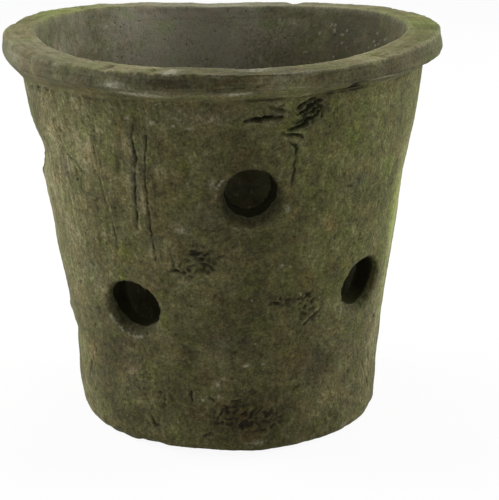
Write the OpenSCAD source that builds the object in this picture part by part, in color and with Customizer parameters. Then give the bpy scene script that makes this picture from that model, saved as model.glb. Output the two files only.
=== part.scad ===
// Orchid pot of fired clay: a tapered wall pierced by two rows of air holes,
// a thick band luted round its top as the rim, and a floor slab with a drain.
// +Z is up and the foot stands on z = 0. Azimuths start at -Y and turn towards +X.

/* [Overall] */
// Largest diameter, across the rim band
rim_d = 148; // [136:1:180]
// Height from the foot to the top of the rim
pot_h = 133; // [120:1:160]

/* [Wall] */
// Diameter of the wall where it meets the ground, before the heel is rounded
foot_d = 104.4; // [96:0.2:114]
// Height over which the wall rises almost upright before it opens out
foot_h = 30; // [22:1:36]
// How much the radius grows over that height
foot_gain = 1.6; // [0.5:0.1:3]
// Length over which the two slopes blend
bend_l = 14; // [6:1:24]
// Wall thickness under the rim band
wall_top_t = 7.2; // [6:0.1:8]
// Wall thickness at the foot
wall_foot_t = 9; // [8:0.1:11]
// Radius of the rounded heel
heel_r = 4; // [2:0.5:6]

/* [Rim band] */
// How far the band stands proud of the wall under it
band_proud = 6; // [4:0.1:9]
// Height of the band's upright outer face
band_face_h = 6; // [5:0.5:10]
// Height of the slope under that face
band_under_h = 4; // [2:0.5:7]
// How far the upper half of that face leans in towards the top
band_lean = 0.9; // [0:0.1:2]
// Radius worn on the lower outer edge
band_low_r = 2; // [1:0.1:2.5]
// Radius worn on the two top edges
band_top_r = 1; // [0.6:0.1:2]

/* [Lute joint under the rim] */
// Thickness of the wall's tongue inside the band
tongue_t = 3.4; // [2.4:0.1:4.4]
// Thickness of the band over the tongue
cap_t = 5; // [3.5:0.1:7]

/* [Air holes] */
// Number of holes, high and low in turn
hole_count = 8; // [4:2:10]
// Diameter of each hole at the outside of the wall
hole_d = 18; // [14:0.2:20]
// How much the hole narrows on its way through the wall
hole_narrow = 1.6; // [0:0.2:3]
// Radius worn round the outer mouth of each hole
lip_r = 1.6; // [0.6:0.1:2.4]
// Radius worn round the inner mouth of each hole
burr_r = 0.8; // [0.4:0.1:1.6]
// Depth of the high row's centres below the crease under the rim band
high_drop = 31.2; // [26:0.1:36]
// Height of the low row's centres above the ground
low_rise = 53; // [46:0.5:60]

/* [Floor] */
// Thickness of the floor slab
floor_t = 9; // [7:0.5:12]
// Diameter of the drain hole
drain_d = 20; // [12:0.5:30]
// Radius worn on the upper edge of the drain
drain_lip_r = 1.5; // [0.5:0.1:2.5]
// Radius of the clay smoothed into the corner between floor and wall
corner_r = 5; // [2:0.5:7]

/* [Hidden] */
clay = "#5d5a3f";
clay_rim = "#7b785c";
clay_floor = "#54503c";

// Hand-bored drift of each hole from the even pattern, in degrees and mm
hole_turn = [0, -1, 2, 3, -3, -2, 0, 5];
hole_lift = [0, 1.5, -1, -1, 1, 0.6, 5, -1.8];

round_steps = 6;
wear_steps = 4;
wear_angle = 60;
profile_steps = 12;
smooth = 96;
over = 1;

rim_r = rim_d / 2;
foot_r = foot_d / 2;
hole_r = hole_d / 2;
hole_in_r = hole_r - hole_narrow / 2;
drain_r = drain_d / 2;
shoulder_z = pot_h - band_face_h - band_under_h;
tongue_z = pot_h - cap_t;
shoulder_r = rim_r - band_proud;

// Outer wall: two straight slopes joined by a hyperbola about z = foot_h
foot_slope = foot_gain / foot_h;
function bend(z) = (z - foot_h + sqrt(pow(z - foot_h, 2) + pow(bend_l, 2) / 4)) / 2;
bend_span = bend(shoulder_z) - bend(0);
side_slope = (shoulder_r - foot_r - foot_slope * shoulder_z) / bend_span;
function outer_r(z) = foot_r + foot_slope * z + side_slope * (bend(z) - bend(0));

// The wall thins evenly from foot to rim
function wall_t(z) = wall_foot_t + (wall_top_t - wall_foot_t) * z / shoulder_z;
function inner_r(z) = outer_r(z) - wall_t(z);

// Inner face of the wall where the floor slab and its smoothed corner sit on it
seat_h = floor_t + corner_r;
function seat() = [for (z = heights(0, seat_h)) [inner_r(z), z]];

// Slope of the outer wall at a height, in degrees from upright
function lean(z) = atan((outer_r(z + over) - outer_r(z - over)) / (2 * over));

// Points of an arc of radius r that rounds the corner b between a and c
function unit(v) = v / norm(v);
function rounded(a, b, c, r) =
    let (
        u = unit(a - b),
        v = unit(c - b),
        half = acos(u * v) / 2,
        centre = b + unit(u + v) * r / sin(half),
        start = b + u * r / tan(half),
        end = b + v * r / tan(half),
        swing = 180 - 2 * half,
        side = sign(u[0] * v[1] - u[1] * v[0])
    )
    [for (i = [0 : round_steps])
        let (t = side * -swing * i / round_steps, d = start - centre)
        centre + [d[0] * cos(t) - d[1] * sin(t), d[0] * sin(t) + d[1] * cos(t)]];

// Heights spread evenly from a to b
function heights(a, b) = [for (i = [0 : profile_steps]) a + (b - a) * i / profile_steps];

function reversed(points) = [for (i = [len(points) - 1 : -1 : 0]) points[i]];

module turned(points) {
    rotate_extrude($fn = smooth) polygon(points);
}

// Worn edge of a mouth, as steps of [growth in radius, depth under the surface]:
// an arc of radius r that turns through wear_angle, then straight on out to level
function worn_edge(r, level) =
    let (
        arc = [for (i = [0 : wear_steps])
            let (a = wear_angle * i / wear_steps)
            [r * (1 - cos(a)), r * (1 - sin(a))]],
        last = arc[wear_steps]
    )
    concat(arc, [[last[0] + (last[1] - level) * tan(wear_angle), level]]);

// Cutter for one air hole through a wall t thick: it narrows inwards, its mouths
// are worn round, its axis is along +X and its outer mouth is at x = 0
module hole_cutter(t) {
    lip = [for (p = worn_edge(lip_r, -over)) [hole_r + p[0], -p[1]]];
    burr = [for (p = worn_edge(burr_r, 0)) [hole_in_r + p[0], p[1] - t]];
    burr_end = burr[len(burr) - 1][0];
    outline = concat(
        [[0, over]],
        reversed(lip),
        burr,
        [[burr_end, -t - 2 * over], [0, -t - 2 * over]]);
    rotate([0, 90, 0]) turned(outline);
}

// Every hole's cutter, square to the wall at its own height
module air_holes() {
    for (k = [0 : hole_count - 1]) {
        high = k % 2 == 0;
        z = (high ? shoulder_z - high_drop : low_rise) + hole_lift[k % len(hole_lift)];
        azimuth = 360 * k / hole_count + hole_turn[k % len(hole_turn)];
        rotate([0, 0, azimuth - 90])
            translate([outer_r(z), 0, z])
                rotate([0, lean(z), 0])
                    hole_cutter(wall_t(z));
    }
}

// Outer side of the tongue that the wall sends up inside the rim band
function tongue() = [
    [inner_r(shoulder_z) + tongue_t, shoulder_z],
    [inner_r(tongue_z) + tongue_t, tongue_z]];

// Tapered wall with a rounded heel and a tongue at the top for the rim band
module wall() {
    heel = rounded([inner_r(0), 0], [foot_r, 0], [outer_r(foot_h / 2), foot_h / 2], heel_r);
    outer = [for (z = heights(foot_h / 2, shoulder_z)) [outer_r(z), z]];
    inner = [for (z = heights(seat_h, tongue_z)) [inner_r(z), z]];
    color(clay)
        difference() {
            turned(concat(heel, outer, tongue(), reversed(inner), reversed(seat())));
            air_holes();
        }
}

// Band luted over the wall's tongue, with worn edges and a sloping underside
module rim_band() {
    crease = [shoulder_r, shoulder_z];
    low = [rim_r, pot_h - band_face_h];
    cheek = [rim_r, pot_h - band_face_h / 2];
    brow = [rim_r - band_lean, pot_h];
    lip = [inner_r(pot_h), pot_h];
    seam = [inner_r(tongue_z), tongue_z];
    color(clay_rim)
        turned(concat(
            [crease],
            rounded(crease, low, cheek, band_low_r),
            [cheek],
            rounded(cheek, brow, lip, band_top_r),
            rounded(brow, lip, seam, band_top_r),
            [seam],
            reversed(tongue())));
}

// Floor slab wedged in the tapered foot, smoothed into the corner, with a drain
module floor_slab() {
    corner_c = [inner_r(seat_h) - corner_r, seat_h];
    corner = [for (i = [1 : round_steps])
        let (a = 90 * i / round_steps)
        corner_c + corner_r * [cos(a), -sin(a)]];
    drain = [for (i = [0 : round_steps])
        let (a = 90 * (1 - i / round_steps))
        [drain_r + drain_lip_r * (1 - cos(a)), floor_t - drain_lip_r * (1 - sin(a))]];
    color(clay_floor)
        turned(concat(seat(), corner, drain, [[drain_r, 0]]));
}

wall();
rim_band();
floor_slab();
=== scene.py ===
"""Visual model of a small aged clay orchid pot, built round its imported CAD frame.

Lengths are in millimetres until a mesh is made, and colours are written as sRGB.
Azimuths are in degrees from -Y towards +X, and heights run up from the standing
surface. "Right" and "left" in a comment are as the camera sees the pot.
"""

import bpy
import numpy as np
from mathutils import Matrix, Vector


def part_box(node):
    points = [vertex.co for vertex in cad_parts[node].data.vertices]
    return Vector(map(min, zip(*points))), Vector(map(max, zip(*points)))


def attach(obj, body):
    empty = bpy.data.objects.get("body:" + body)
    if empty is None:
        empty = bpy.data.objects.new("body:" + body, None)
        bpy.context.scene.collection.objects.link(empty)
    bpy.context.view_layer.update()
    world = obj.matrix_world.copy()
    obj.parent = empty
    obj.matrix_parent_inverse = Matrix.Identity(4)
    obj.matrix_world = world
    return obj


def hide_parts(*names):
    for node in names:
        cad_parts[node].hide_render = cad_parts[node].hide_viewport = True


MM = 0.001

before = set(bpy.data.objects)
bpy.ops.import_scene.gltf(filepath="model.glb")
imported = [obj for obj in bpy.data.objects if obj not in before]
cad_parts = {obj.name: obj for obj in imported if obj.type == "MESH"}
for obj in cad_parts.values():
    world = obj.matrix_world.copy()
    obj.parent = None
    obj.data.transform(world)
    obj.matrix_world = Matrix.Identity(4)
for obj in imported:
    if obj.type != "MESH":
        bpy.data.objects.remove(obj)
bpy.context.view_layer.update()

# Sizes taken from the frame
POT_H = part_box("rim_band")[1][2] / MM
RIM_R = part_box("rim_band")[1][0] / MM
CREASE_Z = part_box("rim_band")[0][2] / MM
SEAT_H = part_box("floor_slab")[1][2] / MM

# Sizes that the CAD source also names
FOOT_R = 52.2
FOOT_H = 30
FOOT_GAIN = 1.6
BEND_L = 14
WALL_TOP_T = 7.2
WALL_FOOT_T = 9
HEEL_R = 4
BAND_PROUD = 6
BAND_LEAN = 0.9
CAP_T = 5
TONGUE_T = 3.4
FLOOR_T = 9
DRAIN_R = 10
CORNER_R = 5
TONGUE_Z = POT_H - CAP_T

# The pot sagged a little when soft: how far its foot lies to the right of its rim, and
# (azimuth, height) points of the rim's top, its face's low edge and the crease under it
LEAN = 1.8
RIM_TOP = [
    (-180, 132.2), (-160, 133.7), (-140, 134.6), (-112, 134.6), (-83, 134.2), (-72, 133.4),
    (-62, 132), (-50, 131.4), (-8, 131.1), (18, 130.9), (30, 132.2), (45, 133.7), (60, 134.8),
    (90, 135), (120, 134.8), (140, 133.4), (156, 132.9), (170, 131.9),
]
FACE_LOW = [(-180, 126), (-90, 127.4), (-60, 126.2), (-18, 126), (0, 127.2), (30, 127.2),
            (62, 128), (78, 129.2), (100, 129), (130, 127.5)]
CREASE = [(-180, 122.5), (-120, 121.2), (-88, 120.9), (-78, 121.5), (-60, 122.2), (-18, 122.4),
          (5, 122.9), (25, 123.8), (48, 124.3), (70, 125), (95, 125.2), (120, 124.2)]
SAG_FROM = 70

# Unrolled length of one degree of azimuth, at the wall's middle radius
MIDDLE_R = 62
DEG = MIDDLE_R * np.pi / 180

# Camera, fitted to the photo's rim, foot and outline
CAMERA_SIDE = -7.6
CAMERA_REACH = 492.1
CAMERA_H = 209.2
CAMERA_DOWN = 17.41
CAMERA_TURN = 0.97
CAMERA_LENS = 104.85

# Mesh fineness: columns in front and behind, rows outside and inside
FRONT_STEP = 0.38
BACK_STEP = 0.85
FRONT_SPAN = (-112, 98)
SPAN_EASE = 8
ROW_STEP = 0.4
INNER_STEP = 0.75
RIM_STEP = 0.42
RIM_TOP_STEP = 0.45
RIM_INNER_STEP = 0.5
FLOOR_STEP = 0.8
FLOOR_UNDER_STEP = 0.9
FLOOR_EDGE_STEP = 1.0
# Rows on faces that meet another piece
JOINT_STEP = 0.8
TONGUE_STEP = 0.6
HIDDEN_STEP = 1.2
# Rows round a rounded corner, and degrees from row to row round the heel
ROUND_STEP = 0.22
HEEL_TURN = 9
# Angle in degrees above which an edge of a mesh shows sharp
SHARP = 50

# Air holes: azimuth, height, width and height of the outer mouth, width and height of
# the inner mouth, and the radius worn on the top and on the bottom of the outer mouth
HOLES = [
    (0, 91.8, 17.4, 17.2, 14.6, 14.8, 1.0, 2.8),
    (44, 54.5, 19.4, 17.2, 16.6, 15.8, 1.4, 2.6),
    (92, 90.8, 17.2, 17.4, 15.0, 15.2, 1.2, 2.0),
    (138, 52, 18.2, 17.4, 15.8, 15.4, 1.0, 2.4),
    (177, 92.8, 17.8, 17.4, 14.8, 15.0, 1.4, 2.0),
    (223, 53.6, 17.6, 18.0, 15.6, 15.8, 1.2, 2.2),
    (270, 96.8, 17.6, 17.2, 14.8, 15.4, 1.8, 2.6),
    (320, 51.2, 19.6, 17.2, 16.8, 16.0, 1.2, 3.0),
]
BURR_R = 0.8
BORE_ROWS = 12
# Half-size of the block of cells taken out at a hole, as a share of its size
HOLE_BLOCK = 0.46
# How far out the mesh turns from rings round a hole back to rows and columns
HOLE_REACH = 1.9


# Profile of the pot
def bend(z):
    """Height above the bend between the wall's two slopes, eased through it."""
    return (z - FOOT_H + np.sqrt((z - FOOT_H) ** 2 + BEND_L ** 2 / 4)) / 2


FOOT_SLOPE = FOOT_GAIN / FOOT_H
SIDE_SLOPE = (RIM_R - BAND_PROUD - FOOT_R - FOOT_SLOPE * CREASE_Z) / (bend(CREASE_Z) - bend(0))


def outer_r(z):
    """Radius of the wall's outer face at height z."""
    return FOOT_R + FOOT_SLOPE * z + SIDE_SLOPE * (bend(z) - bend(0))


def inner_r(z):
    """Radius of the wall's inner face at height z."""
    return outer_r(z) - (WALL_FOOT_T + (WALL_TOP_T - WALL_FOOT_T) * z / CREASE_Z)


# Noise
LATTICE_N = 32
LATTICE = np.random.default_rng(11).normal(size=(LATTICE_N,) * 3 + (3,))
LATTICE /= np.linalg.norm(LATTICE, axis=-1, keepdims=True)
SEED_SHIFT = 7.31
NOISE_GAIN = 1.8


def smooth(t):
    """Eases from 0 to 1 as t goes from 0 to 1, and stays level beyond."""
    t = np.clip(t, 0, 1)
    return t * t * (3 - 2 * t)


def rise(value, start, over):
    """0 up to start, and 1 from there plus over on, eased between."""
    return smooth((value - start) / over)


def fall(value, end, over):
    """1 up to end less over, and 0 from end on, eased between."""
    return smooth((end - value) / over)


def bell(distance, width):
    """1 at no distance, and about a third at one width."""
    return np.exp(-(distance / width) ** 2)


def noise(p, size, seed=0):
    """Gradient noise at points p, with features of that size, mostly between -1 and 1."""
    q = p / size + seed * SEED_SHIFT
    cell = np.floor(q).astype(int)
    f = q - cell
    w = f * f * f * (f * (f * 6 - 15) + 10)
    total = np.zeros(len(p))
    for corner in np.ndindex(2, 2, 2):
        i, j, k = ((cell + corner) % LATTICE_N).T
        weight = np.prod(np.where(corner, w, 1 - w), axis=1)
        total += weight * np.einsum("ij,ij->i", LATTICE[i, j, k], f - corner)
    return total * NOISE_GAIN


def drawn_round(az, z, seed, turns=1, high=1.6):
    """Noise in long streaks round the pot. It repeats each full turn, so it has no seam."""
    q = np.stack([az / 360 * LATTICE_N * turns * high, z, 0 * z], axis=-1)
    return noise(q, high, seed)


def grained(p, grain, seed):
    """Layers of noise, each with its own seed, and their sum as relief."""
    layers = [noise(p, size, seed + k) for k, (size, _) in enumerate(grain)]
    return layers, sum(high * layer for (_, high), layer in zip(grain, layers))


# Listed marks
def turned_by(degrees):
    """Angles in degrees brought into -180 to 180."""
    return (degrees + 180) % 360 - 180


def spot(az, z, at_az, at_z, wide, high):
    """Soft round mark: 1 at its middle, fading out at its half-width and half-height."""
    u = turned_by(az - at_az) * DEG / wide
    v = (z - at_z) / high
    return np.exp(-2.5 * (u * u + v * v))


# How far the raised sides of a line lie from its middle, in half-widths
SIDES_AT = 2.3


def stroke(az, z, half_width, points):
    """A line through (azimuth, height) points, tapered at its ends: its cut and raised sides."""
    line = np.array(points, float) * [DEG, 1]
    x = az * DEG
    room = 5 * half_width + 1
    lo, hi = line.min(0) - room, line.max(0) + room
    near = np.nonzero((x > lo[0]) & (x < hi[0]) & (z > lo[1]) & (z < hi[1]))[0]
    q = np.stack([x[near], z[near]], axis=-1)
    steps = np.diff(line, axis=0)
    lengths = np.hypot(*steps.T)
    gone = 0
    best = np.full(len(near), 1e9)
    along = np.zeros(len(near))
    for start, step, length in zip(line, steps, lengths):
        t = np.clip((q - start) @ step / length ** 2, 0, 1)
        d = np.hypot(*(q - start - t[:, None] * step).T)
        closer = d < best
        best = np.where(closer, d, best)
        along = np.where(closer, gone + t * length, along)
        gone += length
    taper = smooth(along / (2 * half_width) + 0.3) * smooth((gone - along) / (2 * half_width) + 0.3)
    cut, sides = np.zeros((2, len(z)))
    cut[near] = taper * bell(best, half_width)
    sides[near] = taper * bell(best - SIDES_AT * half_width, half_width)
    return cut, sides


# Lines cut in the wall: half-width, depth, then (azimuth, height) points along each
DRAGS = [
    (0.5, 0.62, [(-31.5, 115), (-33, 110.5), (-32.2, 104.5), (-33.5, 96), (-34, 88), (-34.5, 79)]),
    (0.7, 0.3, [(-33.4, 99), (-34, 88), (-34.3, 81)]),
    (0.42, 0.48, [(-28.5, 111.5), (-29.5, 103), (-30, 96.5), (-30, 82), (-29.5, 74), (-29, 68.5)]),
    (1.5, 0.25, [(-36, 114), (-37, 105), (-38.5, 99), (-38.5, 94), (-37, 89)]),
    (0.35, 0.25, [(-37, 103.5), (-35, 100.5), (-33.5, 99)]),
    (0.4, 0.32, [(-46, 106), (-45.5, 99), (-45, 92.5), (-44.5, 87.5), (-43, 82), (-42.5, 70)]),
    (0.4, 0.4, [(-62.5, 110), (-59, 101.5), (-54, 97.5), (-51, 95)]),
    (0.4, 0.3, [(-54, 89), (-51.5, 88), (-49, 88)]), (0.35, 0.3, [(-57, 100), (-54, 94), (-52, 91)]),
    (0.5, 0.55, [(12.5, 106), (12, 103), (11.8, 99), (11, 93.5)]),
]
GOUGES = [
    (0.5, 0.8, [(-2.5, 115.8), (0, 116.4), (3, 116.9), (5, 116.6), (8.5, 116.7)]),
    (0.45, 0.8, [(4.5, 120.5), (6.5, 119.3), (9, 118.2)]), (0.4, 0.7, [(6.5, 119.6), (8.5, 121)]),
    (0.4, 0.6, [(11.5, 119), (14, 120.8), (17, 121.8)]),
    (0.4, 0.6, [(17.5, 119.8), (19, 117.5), (18.4, 115)]),
    (0.4, 0.6, [(13, 116.2), (15, 117), (18, 118.6)]),
    (0.45, 0.7, [(9, 112.6), (11, 112.4), (13, 113.4), (15.5, 114.8)]),
    (0.4, 0.6, [(12, 114), (14, 115.4), (16, 115.8)]),
    (0.45, 0.7, [(7.5, 111.5), (10, 111.2), (12, 110.8), (14.5, 109)]),
    (0.5, 0.7, [(10, 109), (12, 107.2), (12.8, 105.5)]), (0.4, 0.5, [(28, 91), (32, 91)]),
    (0.5, 0.6, [(-18.5, 73.5), (-16.5, 72), (-14.5, 73), (-11.5, 73.5)]),
    (0.3, 0.4, [(-24.5, 74), (-23.5, 69), (-24, 67)]),
    (0.6, 0.6, [(-24, 67), (-21.5, 65.5), (-20, 64), (-18, 64)]),
    (0.5, 0.5, [(-15, 67.5), (-13, 66), (-12.5, 67)]),
    (0.45, 0.5, [(17, 53.5), (18.5, 55.5), (21, 56.5)]),
    (0.55, 0.6, [(18.5, 45), (21, 47), (24, 49.5)]), (0.45, 0.5, [(22, 47), (24.5, 48)]),
    (0.4, 0.6, [(-21, 23.5), (-20.5, 19.5)]), (0.45, 0.5, [(-67.5, 24), (-69, 21.5), (-70.5, 19)]),
    (0.35, 0.4, [(-37.5, 12), (-36.3, 9.5), (-35, 8), (-33.8, 9.6)]),
    (0.5, 0.5, [(-62.5, 111.5), (-61.5, 110)]), (0.5, 0.3, [(50.5, 24), (54, 18), (58.5, 12)]),
    (0.4, 0.3, [(56, 25), (58.5, 20)]), (0.5, 0.5, [(60, 37.5), (57, 38.5)]),
]
# Ragged tears in the wall: azimuth, height, half-length, half-width, slope in degrees, depth
TEARS = [
    (1.4, 116.4, 3, 0.6, 8, 0.8), (4.6, 116.9, 3.4, 0.7, 6, 0.9), (15.6, 119.4, 3.6, 0.9, 24, 0.9),
    (14, 118, 2.6, 0.8, 28, 0.9), (17.4, 120.5, 2.4, 0.6, 8, 0.8), (16.8, 118.4, 2.2, 0.6, 42, 0.8),
    (13, 119.8, 1.8, 0.5, 50, 0.6), (15.3, 115, 3.2, 0.8, 28, 0.8), (14, 113.8, 2, 0.6, 20, 0.7),
    (17.6, 116.6, 1.8, 0.6, 50, 0.7), (12.6, 113.2, 2.6, 0.7, 24, 0.8),
    (12, 110.9, 1.9, 0.7, -8, 0.8), (8.8, 54.4, 3.8, 0.8, -14, 0.5), (16, 55, 3, 0.8, 30, 0.4),
    (-15.8, 70.6, 2.2, 1, 0, 0.4), (-36, 9, 1.6, 0.7, -50, 0.4), (-32.3, 20.5, 1.3, 0.9, 0, 0.5),
    (-9, 17, 2.6, 0.9, 25, 0.5), (-12, 12, 3, 1, -10, 0.5), (-3, 10.5, 2.6, 0.9, 30, 0.5),
    (-13.5, 20.5, 2.2, 0.8, -30, 0.5), (-5.5, 20, 2.6, 0.7, 12, 0.5), (3.5, 16, 2.4, 0.8, 40, 0.4),
    (-55, 92.3, 0.9, 0.7, 0, 0.5), (-59, 108.5, 1.1, 0.7, -60, 0.5), (16.6, 22.4, 3, 0.9, 30, 0.4),
    (1, 23, 3, 0.7, -5, 0.5), (-15, 7.5, 3, 0.8, 10, 0.5), (-9, 71.5, 2.4, 0.7, 20, 0.4),
]
# Crumbled patches: azimuth, height, half-width, half-height, strength
CRUMBLED = [
    (-6, 14.5, 18, 11, 1.05), (7, 12, 14, 9, 0.8), (-31, 18, 10, 8, 0.6), (-35, 9, 7, 5, 0.6),
    (16, 118.6, 7, 4.4, 1.1), (14, 114, 6, 3, 1), (3, 116.6, 8, 2, 0.7), (34, 8, 10, 7, 0.5),
    (-68, 121, 16, 2.6, 0.9), (-45, 120.6, 12, 2.8, 0.6), (9, 54.8, 8, 4, 1), (19, 54, 8, 6, 1),
    (20.5, 47.5, 8, 5, 0.9), (-15.5, 72.3, 9, 5, 1), (-21, 66, 9, 5, 1), (-12.5, 67.5, 5, 4, 0.9),
    (-20, 118, 16, 4, 0.4), (56, 16, 8, 10, 0.4), (20, 24, 12, 9, 0.35), (-20, 34, 9, 7, 0.5),
    (-40, 30, 8, 12, 0.35), (5, 64, 5, 4, 0.5), (118, 12, 20, 9, 0.7), (-150, 70, 12, 8, 0.4),
]

# Round marks on the wall: azimuth, height, half-width, half-height
GREY_SPOTS = [
    (-14, 118, 18, 4), (-33, 98, 3, 16), (-44, 28, 8, 10), (-88, 60, 5, 60), (80, 30, 5, 20),
    (34, 92, 8, 6), (-12, 86, 8, 6), (-29.6, 75.4, 3, 3), (-56, 60, 6, 8), (-8, 40, 10, 8),
    (24, 30, 8, 10), (-60, 96, 4, 6), (140, 60, 20, 20), (-150, 20, 20, 12),
]
WARM_SPOTS = [
    (-36, 112.5, 2, 5), (-37, 94.5, 1.6, 4), (-20, 97.5, 2, 1.4), (-27.5, 85.5, 4, 4),
    (-24, 92, 5, 6), (2.5, 107, 1.8, 2.4), (25, 79, 6, 5), (19.5, 61, 6, 4), (-66, 30, 9, 10),
    (-31, 55, 5, 7), (12, 41, 7, 6), (0, 6, 7, 2), (16, 34, 12, 9), (-2, 15, 15, 9),
    (-46, 28, 9, 7), (34, 64, 5, 4), (4, 118.5, 2, 1), (11.7, 83.5, 3, 2.4), (118, 84, 9, 8),
    (160, 40, 10, 12), (-150, 88, 10, 9), (205, 30, 12, 8),
]
MOSS_SPOTS = [
    (62, 78, 12, 26), (54, 62, 5, 12), (50, 93, 7, 8), (-42.5, 62, 2.5, 6), (-28.5, 48, 2, 5),
    (-40, 70, 5, 5), (80, 100, 10, 22), (108, 60, 16, 24), (-138, 96, 14, 18), (-18.7, 101.8, 3, 3),
    (-170, 30, 16, 14), (150, 104, 12, 10), (-84, 108, 8, 8), (10, 113, 4, 4), (30, 108, 8, 10),
    (72, 40, 8, 20),
]
# Pale marks: azimuth, height, half-width, half-height, strength
PALE_SPOTS = [
    (-26.4, 115.4, 1.4, 1.2, 0.8), (-20.6, 114.7, 0.9, 0.7, 0.8), (-16.2, 114.1, 1.8, 0.6, 0.7),
    (-33.4, 116.5, 1, 1, 0.7), (-48.4, 105.8, 0.5, 0.5, 0.9), (9.7, 67.4, 0.8, 0.7, 1),
    (-1.5, 32.6, 1.6, 0.8, 1), (4.4, 32.8, 0.9, 0.6, 0.9), (-9.1, 28.2, 0.8, 1.2, 0.6),
    (-11.2, 26, 1.2, 1.6, 0.7), (-16.7, 20, 0.8, 0.8, 1), (-11, 21.3, 0.5, 1, 1),
    (-20.8, 80.3, 3.6, 2, 0.5), (34, 47, 0.8, 2.5, 0.6), (41, 3, 4, 1.2, 0.5), (71, 9, 1.2, 5, 0.7),
    (4, 114.4, 1.6, 0.5, 0.5), (10.3, 87, 1.6, 1.6, 0.5), (-11, 96, 1.4, 2.6, 0.5),
    (-30, 105, 1, 8, 0.3), (66, 24, 1.6, 8, 0.4), (2, 4, 5, 1.4, 0.5), (140, 80, 3, 2, 0.6),
]
# Pale lines round the holes' lips, partly painted highlight on the lip edges and partly pale flaky clay:
# half-width, strength, then points
PALE_LINES = [
    (0.35, 0.9, [(-7.5, 98), (-9.5, 95), (-10, 91)]), (0.4, 0.5, [(-8, 83), (-4.5, 81.2), (-0.5, 80.5)]),
    (0.5, 1, [(-50.5, 46), (-48, 43), (-45, 41)]), (0.45, 0.8, [(-44, 41), (-41, 40), (-37, 40.5)]),
]
# Lighter and darker fields, added up: azimuth, height, half-width, half-height, amount
# The first field darkens the middle of the front, partly stain and partly painted shade where the side
# lamps reach least; the fields at -82 and 66 lighten the left and right edges, painted light as from the
# side lamps.
TONES = [
    (-4, 64, 32, 84, -0.16), (-66, 82, 24, 50, 0.06), (-36, 70, 12, 40, 0.04), (-82, 80, 8, 50, 0.12),
    (2, 12, 26, 13, -0.2), (-55, 27, 17, 16, -0.3), (-38, 36, 12, 12, -0.1), (-46, 9, 14, 9, -0.16),
    (-26, 22, 16, 12, -0.12), (-21, 37, 7, 8, -0.16), (22, 34, 16, 10, -0.1), (38, 26, 8, 8, 0.08),
    (-8, 30, 8, 6, 0.08), (8, 41, 9, 5, 0.06), (-12, 117, 20, 4, 0.08), (26, 30, 14, 12, -0.1),
    (-52, 104, 20, 14, 0.1), (28, 112, 12, 6, -0.1), (62, 30, 12, 16, 0.1), (-70, 24, 12, 16, 0.06),
    (66, 72, 13, 44, 0.44), (30, 84, 16, 22, -0.06), (-66, 106, 9, 16, 0.08), (12, 84, 4, 3, 0.1),
    (-50, 44, 16, 12, -0.12), (-20, 50, 12, 12, -0.06), (-58, 12, 14, 9, -0.1), (16, 117, 6, 5, -0.16),
    (3, 116.5, 7, 2.4, -0.14), (-17, 70, 9, 6, -0.1), (15, 52, 12, 6, -0.06), (-14, 62, 18, 22, 0.14),
    (178, 66, 40, 50, -0.22), (128, 84, 24, 30, 0.1), (-136, 44, 26, 26, 0.08),
    (112, 18, 24, 12, -0.12), (-160, 114, 24, 9, -0.14), (-122, 100, 18, 14, -0.08),
    (204, 96, 14, 22, 0.1),
]
# Painted light and shade on the inside, which the lamps barely reach: the back much lighter and paler,
# the left side lighter, the right side darker
INNER_TONES = [(-174, 124, 44, 46, 0.86), (114, 118, 34, 40, -0.26), (-116, 118, 26, 40, 0.22),
               (150, 116, 14, 12, -0.14)]
INNER_PALE = [(-176, 120, 42, 38, 0.62), (158, 122, 14, 8, 0.2)]
INNER_MOSS = [(-166, 127, 5, 5), (156, 126, 5, 4)]
# Where the painted shade in a hole's bore is lighter: azimuth, height, half-width, half-height, amount
BORE_PALER = [(44, 54.5, 14, 14, 1)]
# Swellings and hollows of the outline: azimuth, height, half-width, half-height, amount
LUMPS = [
    (-90, 97, 26, 9.5, -2.4), (-90, 87, 6, 1.8, 0.7), (-90, 60, 20, 14, 0.5), (-90, 38, 7, 2.5, 0.5),
    (-90, 29.5, 18, 4, -0.9), (-90, 12, 20, 8, 0.6), (76, 86, 28, 17, -0.9), (76, 27, 18, 7, 0.3),
    (44, 2, 26, 6, 0.2), (-58, 2, 26, 7, 0.35), (-16, 0, 24, 3, -0.8),
]
# How strongly the painted shade in the crease under the rim shows: azimuth, half-width, strength
CREASE_SHADE = [(28.5, 2.8, 1.5), (2, 9, 0.8), (24, 14, 0.9), (50, 14, 0.6), (-16, 10, 0.3),
               (140, 30, 0.6), (-140, 40, 0.5)]

# Marks on the rim band, at true heights: cracks, chips, a gap under it, a nick inside
RIM_LINES = [
    (0.4, 0.3, [(-22, 125.9), (-14, 126.2), (-8, 126.9), (-2, 127.3)]),
    (0.5, 0.8, [(0, 127.6), (1, 127.4)]), (0.35, 0.25, [(-52, 125.6), (-44, 125), (-38, 124.9)]),
    (0.35, 0.3, [(-70, 126.5), (-62, 125.8), (-55, 126)]),
]
RIM_CHIPS = [(-25, 131, 1.8, 0.7), (-37, 131.2, 1.4, 0.5), (36, 132.6, 1.2, 0.4), (150, 133, 3, 1)]
RIM_GAPS = [(28.5, 125.3, 3.2, 1.6)]
RIM_NICKS = [(2, 131.4, 7, 0.9)]
RIM_PALE = [(-34, 126.8, 5, 2), (36, 126.6, 8, 0.5), (-20, 131, 3, 0.6), (-28, 124.2, 10, 1),
            (-4, 125, 6, 0.8)]
RIM_TONES = [
    (-21, 128.6, 15, 4, -0.3), (32, 129, 26, 6, -0.14), (58, 130, 16, 6, -0.08),
    (-74, 129, 14, 6, 0.12), (-52, 127.5, 14, 5, 0.1), (6, 129, 12, 3, 0.24),
    (120, 130, 30, 6, 0.1), (-150, 130, 40, 6, -0.1), (-14, 124.4, 14, 1.2, 0.16),
]
RIM_LUMPS = [(-108, 130, 14, 12, -0.7), (-60, 130, 8, 9, 0.2)]
RIM_WARM = [(-5, 129.3, 5, 1.8), (13, 129.5, 6, 2), (-62, 127, 8, 5)]
FACE_MOSS = [(62, 128, 18, 6), (-100, 130, 20, 6)]
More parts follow.
